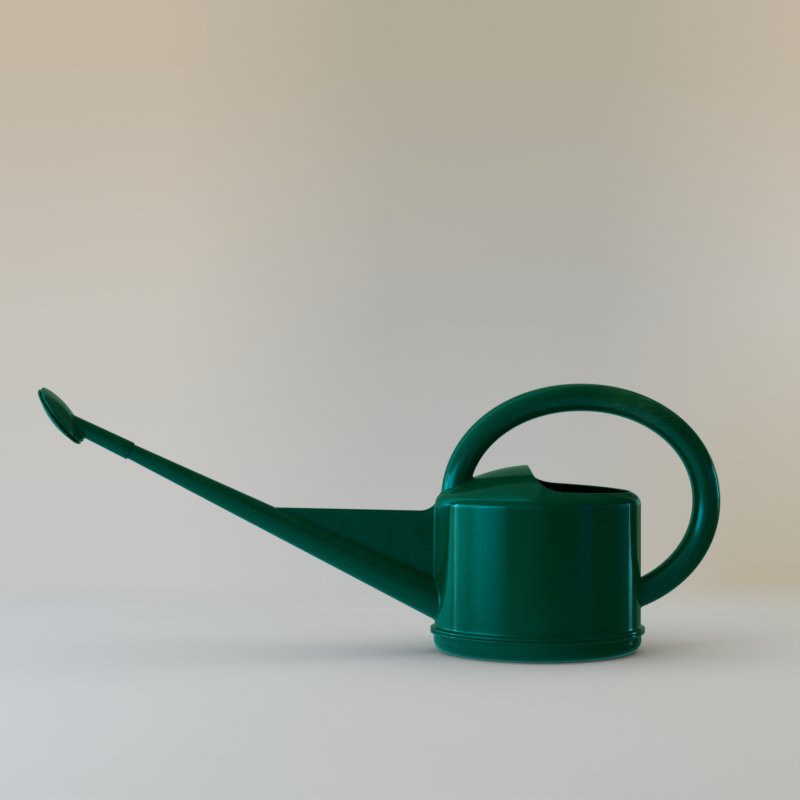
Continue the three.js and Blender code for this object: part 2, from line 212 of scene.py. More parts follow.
# ---- mesh helpers ---------------------------------------------------------------------------
def finish_mesh(name, bm, body, nodes, material):
    """Turns a bmesh in tank-centred millimetres into a piece that rides on a body."""
    bmesh.ops.remove_doubles(bm, verts=bm.verts, dist=0.004)
    bmesh.ops.recalc_face_normals(bm, faces=bm.faces)
    for vert in bm.verts:
        vert.co = vert.co * MM + Vector((TANK_X, 0, 0))
    mesh = bpy.data.meshes.new(name)
    bm.to_mesh(mesh)
    bm.free()
    mesh.polygons.foreach_set("use_smooth", [True] * len(mesh.polygons))
    mesh.materials.append(material)
    piece = bpy.data.objects.new(name, mesh)
    bpy.context.scene.collection.objects.link(piece)
    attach(piece, body)
    if nodes:
        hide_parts(*nodes)
    return piece


def skin(rings, loop=False, caps=False):
    """A bmesh of quads over rings of points (n, m, 3). loop joins the last ring to the first."""
    count, sides = rings.shape[:2]
    bm = bmesh.new()
    verts = [[bm.verts.new(point) for point in ring] for ring in rings]
    for i in range(count if loop else count - 1):
        low, high = verts[i], verts[(i + 1) % count]
        for j in range(sides):
            k = (j + 1) % sides
            bm.faces.new((low[j], low[k], high[k], high[j]))
    if caps:
        bm.faces.new(verts[0])
        bm.faces.new(verts[-1])
    return bm


def arc(centre, radius, start, end, steps):
    """Points of an arc from angle start to angle end."""
    turn = np.linspace(start, end, steps + 1)
    return [(centre[0] + radius * math.cos(a), centre[1] + radius * math.sin(a)) for a in turn]


def rounded(corners, closed, steps=5):
    """A profile through (x, y, radius) corners, each one eased over about its radius."""
    count = len(corners)
    profile = []
    for i, (x, y, radius) in enumerate(corners):
        here = np.array((x, y), float)
        if radius == 0 or (not closed and i in (0, count - 1)):
            profile.append((x, y))
            continue
        before = np.array(corners[i - 1][:2], float) - here
        after = np.array(corners[(i + 1) % count][:2], float) - here
        reach_in = min(radius, 0.48 * np.linalg.norm(before))
        reach_out = min(radius, 0.48 * np.linalg.norm(after))
        start = here + before / np.linalg.norm(before) * reach_in
        end = here + after / np.linalg.norm(after) * reach_out
        for t in np.linspace(0, 1, steps + 1):
            profile.append(tuple((1 - t) ** 2 * start + 2 * t * (1 - t) * here + t * t * end))
    return profile


def turned(profile, sides):
    """Rings (n, sides, 3) of a profile of (radius, height) points turned about Z."""
    turn = np.linspace(0, 2 * math.pi, sides, endpoint=False)
    profile = np.array(profile, float)
    rings = np.zeros((len(profile), sides, 3))
    rings[:, :, 0] = profile[:, :1] * np.cos(turn)
    rings[:, :, 1] = profile[:, :1] * np.sin(turn)
    rings[:, :, 2] = profile[:, 1:]
    return rings


def normals_of(rings):
    """Outward unit normals over a grid of rings that run around the tank."""
    across = np.roll(rings, -1, axis=1) - np.roll(rings, 1, axis=1)
    along = np.gradient(rings, axis=0)
    normal = np.cross(across, along)
    return normal / np.linalg.norm(normal, axis=2, keepdims=True)


# ---- tank -------------------------------------------------------------------------------------
def bend(value, power):
    return np.sign(value) * np.abs(value) ** (2 / power)


def ease_bend(value):
    """bend() for the tank's oval, without the crease where the value passes zero."""
    scale = (1 + OVAL_EASE ** 2) ** (1 / OVAL_POWER - 0.5)
    return value * (value ** 2 + OVAL_EASE ** 2) ** (1 / OVAL_POWER - 0.5) / scale


OVAL_TURN = np.linspace(0, 2 * math.pi, OVAL_SIDES, endpoint=False)
OVAL_X = ease_bend(np.cos(OVAL_TURN))
OVAL_Y = ease_bend(np.sin(OVAL_TURN))


def oval_rings(profile, offset_from):
    """Rings of a profile of (half-length, height) points around the tank's oval."""
    rings = np.zeros((len(profile), OVAL_SIDES, 3))
    for ring, (a, z) in zip(rings, profile):
        if a >= offset_from:
            width = a - NARROWER
        else:
            width = a * (offset_from - NARROWER) / offset_from
        ring[:, 0] = a * OVAL_X
        ring[:, 1] = width * OVAL_Y
        ring[:, 2] = z
    return rings


def dome_z(x, y):
    """The dome's outer height over a point in plan."""
    narrow = TOP_A / (TOP_A - NARROWER)
    a = (abs(x) ** OVAL_POWER + abs(y * narrow) ** OVAL_POWER) ** (1 / OVAL_POWER)
    return DOME_EDGE_Z + DOME_RISE * (1 - (a / TOP_A) ** 2)


def mouth_curve():
    """Points (x, z) of the curve that the dome is cut to, from above the crest backwards."""
    crest = dome_z(CREST_X, 0) + 0.05
    ends = np.array((
        (CREST_X, crest),
        (CREST_X + 7, crest - 19),
        (MOUTH_FLAT_X - 22, MOUTH_FLAT_Z + 0.7),
        (MOUTH_FLAT_X, MOUTH_FLAT_Z),
    ))
    t = np.linspace(0, 1, 200)[:, None]
    curve = (1 - t) ** 3 * ends[0] + 3 * t * (1 - t) ** 2 * ends[1]
    curve = curve + 3 * t * t * (1 - t) * ends[2] + t ** 3 * ends[3]
    above = (CREST_X - 200, crest + 10000)
    beyond = (MOUTH_FLAT_X + 100, MOUTH_FLAT_Z + 100 * MOUTH_SLOPE)
    return np.vstack((above, curve, beyond))


MOUTH_CURVE = mouth_curve()


def wall_profile(radius):
    """(half-length, height) points from above the bead to the end of a shoulder of this radius."""
    slope = math.atan(2 * DOME_RISE / TOP_A)
    turn = math.pi / 2 - slope
    centre = (TOP_A - radius, DOME_EDGE_Z - radius * math.tan(turn / 2))
    heights = np.linspace(JOINT_Z + 6.5, centre[1] - 1.2, 26)
    start = JOINT_Z + BEAD_HEIGHT + 1
    wall = [(BASE_A + (TOP_A - BASE_A) * (z - start) / (centre[1] - start), z) for z in heights]
    return [*wall, *arc(centre, radius, 0, turn, 14)]


def wall_rings():
    """Rings of the wall and shoulder, whose radius changes between the oval's ends and sides."""
    ends = oval_rings(wall_profile(SHOULDER_R), TOP_A)
    sides = oval_rings(wall_profile(SHOULDER_SIDE_R), TOP_A)
    share = np.abs(np.cos(OVAL_TURN))[None, :, None] ** 2
    return ends * share + sides * (1 - share)


def dome_lift(point):
    """How far a shoulder's end stands off the dome's curve."""
    return point[2] - dome_z(point[0], point[1])


def mouth_rim(shoulder):
    """The ring where lines from the shoulder towards the mouth's middle reach the mouth's cut."""
    rim = np.zeros_like(shoulder)
    for j, start in enumerate(shoulder):
        aim = np.array((MOUTH_CENTRE_X, 0.0)) - start[:2]
        lift = dome_lift(start)
        near, far = 0.0, 1.0
        for _ in range(40):
            t = (near + far) / 2
            x, y = start[:2] + t * aim
            if dome_z(x, y) + lift < np.interp(x, MOUTH_CURVE[:, 0], MOUTH_CURVE[:, 1]):
                near = t
            else:
                far = t
        x, y = start[:2] + near * aim
        rim[j] = (x, y, dome_z(x, y) + lift)
    return rim


def dome_rings(shoulder, rim):
    """Rings over the dome from the shoulder to the mouth's rim."""
    rings = []
    for i in range(1, DOME_RINGS + 1):
        ring = shoulder + i / DOME_RINGS * (rim - shoulder)
        for j, point in enumerate(ring):
            point[2] = dome_z(point[0], point[1]) + dome_lift(shoulder[j])
        rings.append(ring)
    return np.array(rings)


def upper_bead():
    """(half-length, height) points of the tank's bead, from its inner edge out and up the wall."""
    edge = BASE_A + BEAD_OUT
    profile = [(BASE_A - TANK_WALL, JOINT_Z), (edge - BEAD_LIP_R, JOINT_Z)]
    profile += arc((edge - BEAD_LIP_R, JOINT_Z + BEAD_LIP_R), BEAD_LIP_R, -math.pi / 2, 0, 6)[1:]
    profile += arc((edge - BEAD_R, JOINT_Z + BEAD_R), BEAD_R, 0, math.pi / 2, 6)
    profile += rounded([
        (edge - BEAD_R, JOINT_Z + 2 * BEAD_R, 0),
        (BASE_A + 0.1, JOINT_Z + BEAD_HEIGHT + 0.1, 1.4),
        (BASE_A, JOINT_Z + BEAD_HEIGHT + 2.2, 0),
    ], False)[1:]
    return profile


def tank_outside():
    """Rings of the tank's outer face, its normals, and directions along the face off the rim."""
    wall = wall_rings()
    shoulder = wall[-1]
    outer = np.concatenate((wall, dome_rings(shoulder, mouth_rim(shoulder))))
    normal = normals_of(outer)
    around = np.roll(outer[-1], -1, axis=0) - np.roll(outer[-1], 1, axis=0)
    inward = np.cross(normal[-1], around)
    inward /= np.linalg.norm(inward, axis=1, keepdims=True)
    if inward[0, 0] > 0:
        inward = -inward
    # The last few rings draw back a little so that the rounded lip ends at the cut.
    span = np.linalg.norm(outer[-1] - shoulder, axis=1, keepdims=True)
    for i in range(DOME_RINGS):
        t = (i + 1) / DOME_RINGS
        outer[-DOME_RINGS + i] -= inward * LIP_R * np.clip(1 - (1 - t) * span / 12, 0, 1)
    return outer, normal, inward


def build_tank(material):
    """Builds the tank and returns its outer face as a surface for landing() and clearance()."""
    outer, normal, inward = tank_outside()
    inner = outer - normal * TANK_WALL
    middle = (outer[-1] + inner[-1]) / 2
    lip = []
    for turn in np.linspace(0, math.pi, 9)[1:-1]:
        lip.append(middle + LIP_R * (normal[-1] * math.cos(turn) + inward * math.sin(turn)))
    rings = np.concatenate((oval_rings(upper_bead(), TOP_A), outer, np.array(lip), inner[::-1]))
    shell = skin(rings, loop=True)
    finish_mesh("tank", shell, "can", ["tank_shell"], material)
    outside = skin(outer)
    bmesh.ops.recalc_face_normals(outside, faces=outside.faces)
    tree = BVHTree.FromBMesh(outside)
    outside.free()
    sample = tree.find_nearest(Vector((0, -BASE_B - 50, 100)))
    return tree, (1 if sample[1].y < 0 else -1)


def build_pan(material):
    top = JOINT_Z - GAP
    foot_out = SKIRT_A - BASE_CORNER_R
    foot_in = foot_out - FOOT_WIDTH
    inner = BASE_A - PAN_WALL
    inner_r = BASE_CORNER_R - PAN_WALL
    floor = FOOT_HEIGHT + FLOOR_THICK
    bead_x = BASE_A + BEAD_OUT - BEAD_R
    profile = [(0.001, FOOT_HEIGHT)]
    profile += [(foot_in * t, FOOT_HEIGHT) for t in (0.2, 0.4, 0.6, 0.8)]
    profile += rounded([
        (foot_in - 6, FOOT_HEIGHT, 0),
        (foot_in - 2, FOOT_HEIGHT, 1),
        (foot_in, 0, 1),
        (foot_out - 2, 0, 0),
    ], False)
    profile += arc((foot_out, BASE_CORNER_R), BASE_CORNER_R, -math.pi / 2, 0, 14)
    profile += rounded([
        (SKIRT_A, BASE_CORNER_R + 1, 0),
        (SKIRT_A, top - BEAD_HEIGHT - 0.4, 1.2),
        (bead_x, top - 2 * BEAD_R, 0),
    ], False)
    profile += arc((bead_x, top - BEAD_R), BEAD_R, -math.pi / 2, 0, 6)[1:]
    lip_x = BASE_A + BEAD_OUT - BEAD_LIP_R
    profile += arc((lip_x, top - BEAD_LIP_R), BEAD_LIP_R, 0, math.pi / 2, 6)
    profile += [(inner, top)]
    profile += [(inner, z) for z in np.linspace(top - 2, floor + inner_r, 3)]
    profile += arc((inner - inner_r, floor + inner_r), inner_r, 0, -math.pi / 2, 8)[1:]
    profile += [((inner - inner_r) * t, floor) for t in (0.8, 0.6, 0.4, 0.2)]
    profile += [(0.001, floor)]
    bm = skin(oval_rings(profile, SKIRT_A - OFFSET_BAND), loop=True)
    finish_mesh("base", bm, "can", ["base_pan"], material)


# ---- tubes that end on a surface ---------------------------------------------------------------
def clearance(surface, point):
    """Distance of a point outside a surface, negative inside."""
    tree, sign = surface
    nearest, normal, _, distance = tree.find_nearest(Vector(point))
    side = (Vector(point) - nearest).dot(normal) * sign
    return distance if side > 0 else -distance


def landing(surface, path, outside, inside, height):
    """Where path(t), going in from outside, is at the given height over the surface."""
    for _ in range(22):
        t = (outside + inside) / 2
        if clearance(surface, path(t)) > height:
            outside = t
        else:
            inside = t
    return outside


def fillet_rows(surface, point, sides, outside, inside, radius, steps=6):
    """Rows of parameters t for a tube that flares onto a surface, from the surface outwards."""
    rows = [(0.6, -0.8)]
    for turn in np.linspace(0, math.pi / 2, steps + 1):
        rows.append((1 - math.sin(turn), 1 - math.cos(turn)))
    made = []
    for spread, height in rows:
        row = []
        for side in sides:
            grow = radius(side) * spread
            lift = radius(side) * height if height > 0 else height
            t = landing(surface, lambda t: point(t, side, grow), outside, inside, lift)
            row.append((t, grow))
        made.append(row)
    return made


def tube(point, sides, rows):
    return np.array([[point(t, side, grow) for side, (t, grow) in zip(sides, row)] for row in rows])


def between(first, last, steps):
    """Rows between two rows of (t, grow), without their ends."""
    first, last = np.array(first), np.array(last)
    return [first + (last - first) * i / steps for i in range(1, steps)]


# ---- handle --------------------------------------------------------------------------------------
def handle_point(t, side, grow):
    """A point on the handle: t is the angle along its oval, side the angle around the tube."""
    def middle(angle):
        return np.array((
            HANDLE_X + HANDLE_AX * bend(math.cos(angle), HANDLE_POWER),
            0,
            HANDLE_Z + HANDLE_AZ * bend(math.sin(angle), HANDLE_POWER),
        ))
    step = 0.02
    along = middle(t + step) - middle(t - step)
    along /= np.linalg.norm(along)
    outward = np.array((along[2], 0, -along[0]))
    offset = outward * math.cos(side) + np.array((0, 1, 0)) * math.sin(side)
    return middle(t) + (HANDLE_R + grow) * offset


def build_handle(surface, material):
    sides = np.linspace(0, 2 * math.pi, 64, endpoint=False)
    front = fillet_rows(surface, handle_point, sides, 2.4, HANDLE_START, lambda side: 3.0)
    rear = fillet_rows(surface, handle_point, sides, -0.45, HANDLE_END, lambda side: 2.0)
    rows = [*front, *between(front[-1], rear[-1], 120), *reversed(rear)]
    bm = skin(tube(handle_point, sides, rows), caps=True)
    finish_mesh("handle", bm, "can", ["handle"], material)


# ---- spout ---------------------------------------------------------------------------------------
SPOUT_ALONG = np.array((-math.cos(SPOUT_ANGLE), 0, math.sin(SPOUT_ANGLE)))
SPOUT_UP = np.array((math.sin(SPOUT_ANGLE), 0, math.cos(SPOUT_ANGLE)))
SPOUT_FOOT = np.array((SPOUT_X, 0, SPOUT_Z))


def spout_radius(along):
    return SPOUT_ROOT_R - SPOUT_TAPER * along


def around_spout(along, side, radius):
    """A point about the spout's axis. side is 0 at the top and turns towards +Y."""
    offset = SPOUT_UP * math.cos(side) + np.array((0, 1, 0)) * math.sin(side)
    return SPOUT_FOOT + along * SPOUT_ALONG + radius * offset


def spout_point(t, side, grow):
    ridge = 0.0
    for centre in (math.pi / 2 - SEAM_ANGLE, 3 * math.pi / 2 + SEAM_ANGLE):
        away = abs(side - centre) * spout_radius(t)
        ridge = max(ridge, SEAM_RISE * max(0, 1 - away / 0.5))
    return around_spout(t, side, spout_radius(t) + grow + ridge)


def build_spout(surface, material):
    sides = list(np.linspace(0, 2 * math.pi, 72, endpoint=False))
    for centre in (math.pi / 2 - SEAM_ANGLE, 3 * math.pi / 2 + SEAM_ANGLE):
        sides = [s for s in sides if abs(s - centre) > 0.05]
        sides += [centre - 0.05, centre - 0.02, centre, centre + 0.02, centre + 0.05]
    sides = sorted(sides)
    root = fillet_rows(surface, spout_point, sides, 60, -30, lambda side: 1.6)
    tip = [(SPOUT_LENGTH - 0.6, 0)] * len(sides)
    rows = [*root, *between(root[-1], tip, 70), tip, [(SPOUT_LENGTH, -0.5)] * len(sides)]
    outer = tube(spout_point, sides, rows)
    bore = []
    for along in np.linspace(SPOUT_LENGTH, 12, 12):
        radius = spout_radius(along) - SPOUT_WALL
        bore.append([around_spout(along, side, radius) for side in sides])
    inner_r = SPOUT_ROOT_R - SPOUT_WALL
    inner_root = []
    for side in sides:
        along = landing(surface, lambda t: around_spout(t, side, inner_r), 60, -30, 0)
        inner_root.append(around_spout(along, side, inner_r))
    rings = np.concatenate((outer, np.array(bore), np.array([inner_root])))
    bm = skin(rings, loop=True)
    finish_mesh("spout", bm, "can", ["spout"], material)


# ---- web -----------------------------------------------------------------------------------------
def web_top(x):
    """Height of the web's top edge."""
    if x <= WEB_BEND[0]:
        return WEB_TIP[1] + (x - WEB_TIP[0]) * (WEB_BEND[1] - WEB_TIP[1]) / (WEB_BEND[0] - WEB_TIP[0])
    reach = min(x - WEB_BEND[0], WEB_FILLET_R * 0.985)
    return WEB_BEND[1] + WEB_FILLET_R - math.sqrt(WEB_FILLET_R ** 2 - reach ** 2)


def spout_top(x):
    """Height of the spout's upper outline."""
    along = (SPOUT_X - x) / math.cos(SPOUT_ANGLE)
    height = SPOUT_Z + (SPOUT_X - x) * math.tan(SPOUT_ANGLE)
    along += spout_radius(along) * math.tan(SPOUT_ANGLE)
    return height + spout_radius(along) / math.cos(SPOUT_ANGLE)


def flare(distance, radius):
    """Extra thickness of a fillet at a distance from the surface it meets."""
    share = min(max(distance / radius, 0), 1)
    return radius * (1 - math.sqrt(max(0, 1 - (1 - share) ** 2)))


def build_web(surface, material):
    edge_r = 1.7
    xs = list(np.linspace(WEB_TIP[0] - 3, -150, 60)) + list(np.linspace(-147, -121, 16))
    xs += list(np.linspace(-120, -108, 22))
    rows = []
    for x in xs:
        top = web_top(x)
        bottom = min(spout_top(x) - 1.2, top - 0.4)
        depth = top - bottom
        steps = [0, 0.04, 0.15, 0.34, 0.6, 1]
        levels = [top - min(edge_r, depth * 0.5) * s for s in steps]
        low = levels[-1]
        for s in (0.15, 0.3, 0.45, 0.6, 0.72, 0.82, 0.89, 0.94, 0.97, 1):
            levels.append(low - (low - bottom) * s)
        sides = []
        for z in levels:
            half = WEB_THICK / 2
            fillet = flare((z - spout_top(x)) * math.cos(SPOUT_ANGLE), 2.2)
            fillet += flare(clearance(surface, (x, -half, z)), 1.6)
            into = min((top - z) / edge_r, 1)
            half = half - edge_r + edge_r * math.sqrt(max(0, 1 - (1 - into) ** 2)) + fillet * into
            sides.append((x, half, z))
        ring = [(px, -py, pz) for px, py, pz in sides] + [(px, py, pz) for px, py, pz in reversed(sides)]
        rows.append(ring)
    bm = skin(np.array(rows), caps=True)
    finish_mesh("web", bm, "can", ["spout_web"], material)


# ---- rose ----------------------------------------------------------------------------------------
def place_sleeve(rings):
    """Moves rings turned about Z onto the spout's axis."""
    x, y, z = rings[..., 0:1], rings[..., 1:2], rings[..., 2:3]
    return SPOUT_FOOT + x * SPOUT_UP + y * np.array((0, 1, 0)) + z * SPOUT_ALONG


ROSE_CENTRE = SPOUT_FOOT + ROSE_PLACE * SPOUT_ALONG
ROSE_BACK = np.array((math.cos(ROSE_TILT), 0, math.sin(ROSE_TILT)))
ROSE_DOWN = np.array((math.sin(ROSE_TILT), 0, -math.cos(ROSE_TILT)))


def place_rose(rings):
    """Moves rings turned about Z onto the rose's axis, with +Z out of its back."""
    x, y, z = rings[..., 0:1], rings[..., 1:2], rings[..., 2:3]
    return ROSE_CENTRE + x * ROSE_DOWN + y * np.array((0, 1, 0)) + z * ROSE_BACK


def build_sleeve(material):
    ledge = SPOUT_LENGTH + 0.6
    profile = rounded([
        (spout_radius(SLEEVE_START) + GAP, SLEEVE_START, 0.2),
        (SLEEVE_MOUTH_R, SLEEVE_START, 0.5),
        (SLEEVE_END_R, SLEEVE_END, 0.4),
        (SLEEVE_LEDGE_R, SLEEVE_END, 0.3),
        (SLEEVE_LEDGE_R, ledge, 0.3),
        (spout_radius(ledge) + GAP, ledge, 0.3),
    ], True)
    bm = skin(place_sleeve(turned(profile, 72)), loop=True)
    finish_mesh("rose_sleeve", bm, "sleeve", ["rose_sleeve"], material)


def cap_profile(radius, edge, rise, steps, margin=0.001):
    """Points of a shallow cap from its edge to near the axis."""
    spots = radius * (1 - np.linspace(0, 1, steps + 1))
    return [(max(r, margin), edge + rise * (1 - (r / radius) ** 2)) for r in spots]


def build_rose(material):
    skirt_out = ROSE_R - 2.8
    skirt_in = skirt_out - SHELL_WALL
    flange = rounded([
        (skirt_in, 1.6, 0.2),
        (skirt_out, 1.6, 0.3),
        (skirt_out, 3.0, 0.5),
        (ROSE_R - 0.8, 3.1, 0.5),
        (ROSE_R - 0.2, 4.3, 0.6),
        (ROSE_R - 1.0, 5.2, 0.8),
        (ROSE_R - 3.0, 5.9, 0),
    ], False)
    dome = cap_profile(ROSE_R - 0.8, 5.3, SHELL_BACK - 5.3, 26)[3:]
    inner = cap_profile(skirt_in, 4.5, SHELL_BACK - SHELL_WALL - 4.5, 14)[::-1]
    rings = place_rose(turned(flange + dome + inner, 96))
    shell = skin(rings, loop=True)
    finish_mesh("rose_shell", shell, "rose", ["rose_shell"], material)

    outside = skin(place_rose(turned(flange + dome, 96)))
    bmesh.ops.recalc_face_normals(outside, faces=outside.faces)
    tree = BVHTree.FromBMesh(outside)
    outside.free()
    probe = ROSE_CENTRE + ROSE_BACK * 60
    sign = 1 if tree.find_nearest(Vector(probe))[1].dot(Vector(ROSE_BACK)) > 0 else -1
    surface = (tree, sign)
    slope = (SLEEVE_MOUTH_R - SLEEVE_END_R) / (SLEEVE_END - SLEEVE_START)
    sides = np.linspace(0, 2 * math.pi, 72, endpoint=False)

    def collar_point(t, side, grow):
        return around_spout(t, side, SLEEVE_MOUTH_R - slope * (t - SLEEVE_START) + 0.08 + grow)

    def collar_fillet(side):
        return 2.3 - 1.4 * math.cos(side)

    rows = fillet_rows(surface, collar_point, sides, 395, 452, collar_fillet)
    inside = [[(t - 0.5, grow - 0.5) for t, grow in rows[-1]], [(t + 6, -1.5) for t, _ in rows[-1]]]
    collar = skin(tube(collar_point, sides, [*rows, *inside]), loop=True)
    finish_mesh("rose_collar", collar, "rose", [], material)


def build_face(material):
    rim = 1.3
    spigot_out = ROSE_R - 2.8 - SHELL_WALL - GAP
    spigot_in = spigot_out - FACE_WALL
    front = cap_profile(ROSE_R - 1.4, -rim, rim - FACE_RISE, 24)[::-1]
    edge = rounded([
        (ROSE_R - 2.2, -rim - 0.55, 0),
        (ROSE_R - 1.2, -rim - 0.2, 0.6),
        (ROSE_R, -0.6, 0.6),
        (ROSE_R, 0.6, 0.5),
        (ROSE_R - 1.4, rim, 0.5),
        (spigot_out, rim, 0.2),
        (spigot_out, 3, 0.3),
        (spigot_in, 3, 0.3),
        (spigot_in, -rim, 0),
    ], False)
    inner = cap_profile(spigot_in, -rim, rim + FACE_WALL - FACE_RISE, 16)[1:]
    bm = skin(place_rose(turned(front[:-2] + edge + inner, 96)), loop=True)
    face = finish_mesh("rose_face", bm, "rose", ["rose_face"], material)

    drills = bmesh.new()
    for ring in range(HOLE_RINGS + 1):
        count = max(1, 6 * ring)
        for i in range(count):
            angle = 2 * math.pi * i / count
            spot = ring * HOLE_PITCH * np.array((math.cos(angle), math.sin(angle)))
            ends = []
            for height in (-FACE_RISE - 3, 3):
                circle = turned([(HOLE_R, height)], 12)[0]
                circle[:, :2] += spot
                ends.append([drills.verts.new(p) for p in place_rose(circle)])
            for j in range(12):
                k = (j + 1) % 12
                drills.faces.new((ends[0][j], ends[0][k], ends[1][k], ends[1][j]))
            drills.faces.new(ends[0])
            drills.faces.new(ends[1])
    bmesh.ops.recalc_face_normals(drills, faces=drills.faces)
    for vert in drills.verts:
        vert.co = vert.co * MM + Vector((TANK_X, 0, 0))
    mesh = bpy.data.meshes.new("drills")
    drills.to_mesh(mesh)
    drills.free()
    mesh.materials.append(material)
    cutter = bpy.data.objects.new("drills", mesh)
    bpy.context.scene.collection.objects.link(cutter)
    cut = face.modifiers.new("holes", "BOOLEAN")
    cut.operation = "DIFFERENCE"
    cut.solver = "EXACT"
    cut.object = cutter
    bpy.context.view_layer.update()
    graph = bpy.context.evaluated_depsgraph_get()
    face.data = bpy.data.meshes.new_from_object(face.evaluated_get(graph))
    face.modifiers.clear()
    bpy.data.objects.remove(cutter)


# ---- materials -----------------------------------------------------------------------------------
def new_material(name):
    material = bpy.data.materials.new(name)
    material.use_nodes = True
    tree = material.node_tree
    tree.nodes.clear()
    shader = tree.nodes.new("ShaderNodeBsdfPrincipled")
    output = tree.nodes.new("ShaderNodeOutputMaterial")
    tree.links.new(shader.outputs["BSDF"], output.inputs["Surface"])
    return material, tree, shader


def stretched_noise(tree, stretch, scale, detail, roughness=0.5):
    """Noise over the object's own coordinates, in metres, stretched along each axis."""
    place = tree.nodes.new("ShaderNodeTexCoord")
    mapping = tree.nodes.new("ShaderNodeMapping")
    mapping.inputs["Scale"].default_value = stretch
    noise = tree.nodes.new("ShaderNodeTexNoise")
    noise.inputs["Scale"].default_value = scale
    noise.inputs["Detail"].default_value = detail
    noise.inputs["Roughness"].default_value = roughness
    tree.links.new(place.outputs["Object"], mapping.inputs["Vector"])
    tree.links.new(mapping.outputs["Vector"], noise.inputs["Vector"])
    return noise.outputs["Fac"]


def remap(tree, value, low, high, to_low, to_high):
    node = tree.nodes.new("ShaderNodeMapRange")
    for name, number in (("From Min", low), ("From Max", high), ("To Min", to_low), ("To Max", to_high)):
        node.inputs[name].default_value = number
    tree.links.new(value, node.inputs["Value"])
    return node.outputs["Result"]


def mixed(tree, share, first, second):
    node = tree.nodes.new("ShaderNodeMix")
    node.data_type = "RGBA"
    for socket, value in (("A", first), ("B", second)):
        target = next(s for s in node.inputs if s.name == socket and s.type == "RGBA")
        if isinstance(value, tuple):
            target.default_value = (*value, 1)
        else:
            tree.links.new(value, target)
    tree.links.new(share, node.inputs["Factor"])
    return next(s for s in node.outputs if s.type == "RGBA")


def math_node(tree, operation, first, second):
    node = tree.nodes.new("ShaderNodeMath")
    node.operation = operation
    for socket, value in zip(node.inputs, (first, second)):
        if isinstance(value, (int, float)):
            socket.default_value = value
        else:
            tree.links.new(value, socket)
    return node.outputs["Value"]


def bump(tree, shader, layers):
    """Chains bump nodes for (height socket, strength, distance) layers."""
    last = None
    for height, strength, distance in layers:
        node = tree.nodes.new("ShaderNodeBump")
        node.inputs["Strength"].default_value = strength
        node.inputs["Distance"].default_value = distance
        tree.links.new(height, node.inputs["Height"])
        if last:
            tree.links.new(last, node.inputs["Normal"])
        last = node.outputs["Normal"]
    tree.links.new(last, shader.inputs["Normal"])


def green_plastic(name, greens, roughness, streak, painted_sheen=False):
    """Moulded green plastic: cloudy colour, flow marks, fine orange peel and dull scuffs."""
    deep, light = greens
    material, tree, shader = new_material(name)
    clouds = stretched_noise(tree, (1, 1, 1), 9, 4)
    colour = mixed(tree, remap(tree, clouds, 0.3, 0.7, 0, 1), deep, light)
    scuffs = stretched_noise(tree, (3, 3, 14), 14, 8, 0.65)
    scuffed = remap(tree, scuffs, 0.62, 0.75, 0, 1)
    worn = tuple(min(1, c * 1.25 + 0.004) for c in light)
    colour = mixed(tree, math_node(tree, "MULTIPLY", scuffed, 0.35), colour, worn)
    # painted reflection: a paler, browner patch on the handle's top stands in for the warm backdrop
    # mirrored there
    if painted_sheen:
        place = tree.nodes.new("ShaderNodeTexCoord")
        away = tree.nodes.new("ShaderNodeVectorMath")
        away.operation = "DISTANCE"
        tree.links.new(place.outputs["Object"], away.inputs[0])
        away.inputs[1].default_value = PAINTED_SHEEN_AT
        sheen_spots = remap(tree, stretched_noise(tree, (1, 2.5, 2.5), 45, 6, 0.7), 0.36, 0.62, 0, 1)
        sheen_share = math_node(tree, "MULTIPLY", remap(tree, away.outputs["Value"], *PAINTED_SHEEN_REACH, 1, 0), sheen_spots)
        colour = mixed(tree, sheen_share, colour, PAINTED_SHEEN_GREEN)
    tree.links.new(colour, shader.inputs["Base Color"])
    dull = stretched_noise(tree, (1, 1, 0.5), 70, 5)
    level = remap(tree, dull, 0.32, 0.68, roughness * 0.6, roughness * 1.7)
    level = math_node(tree, "ADD", level, math_node(tree, "MULTIPLY", scuffed, 0.12))
    tree.links.new(level, shader.inputs["Roughness"])
    flow = stretched_noise(tree, streak, 1, 3)
    wave = stretched_noise(tree, (1, 1, 0.6), 90, 2)
    peel = stretched_noise(tree, (1, 1, 1), 900, 2)
    bump(tree, shader, [(flow, 0.2, 0.0003), (wave, 0.15, 0.0006), (peel, 0.06, 0.00005)])
    shader.inputs["IOR"].default_value = 1.5
    shader.inputs["Specular Tint"].default_value = (0.02, 1, 1, 1)
    return material


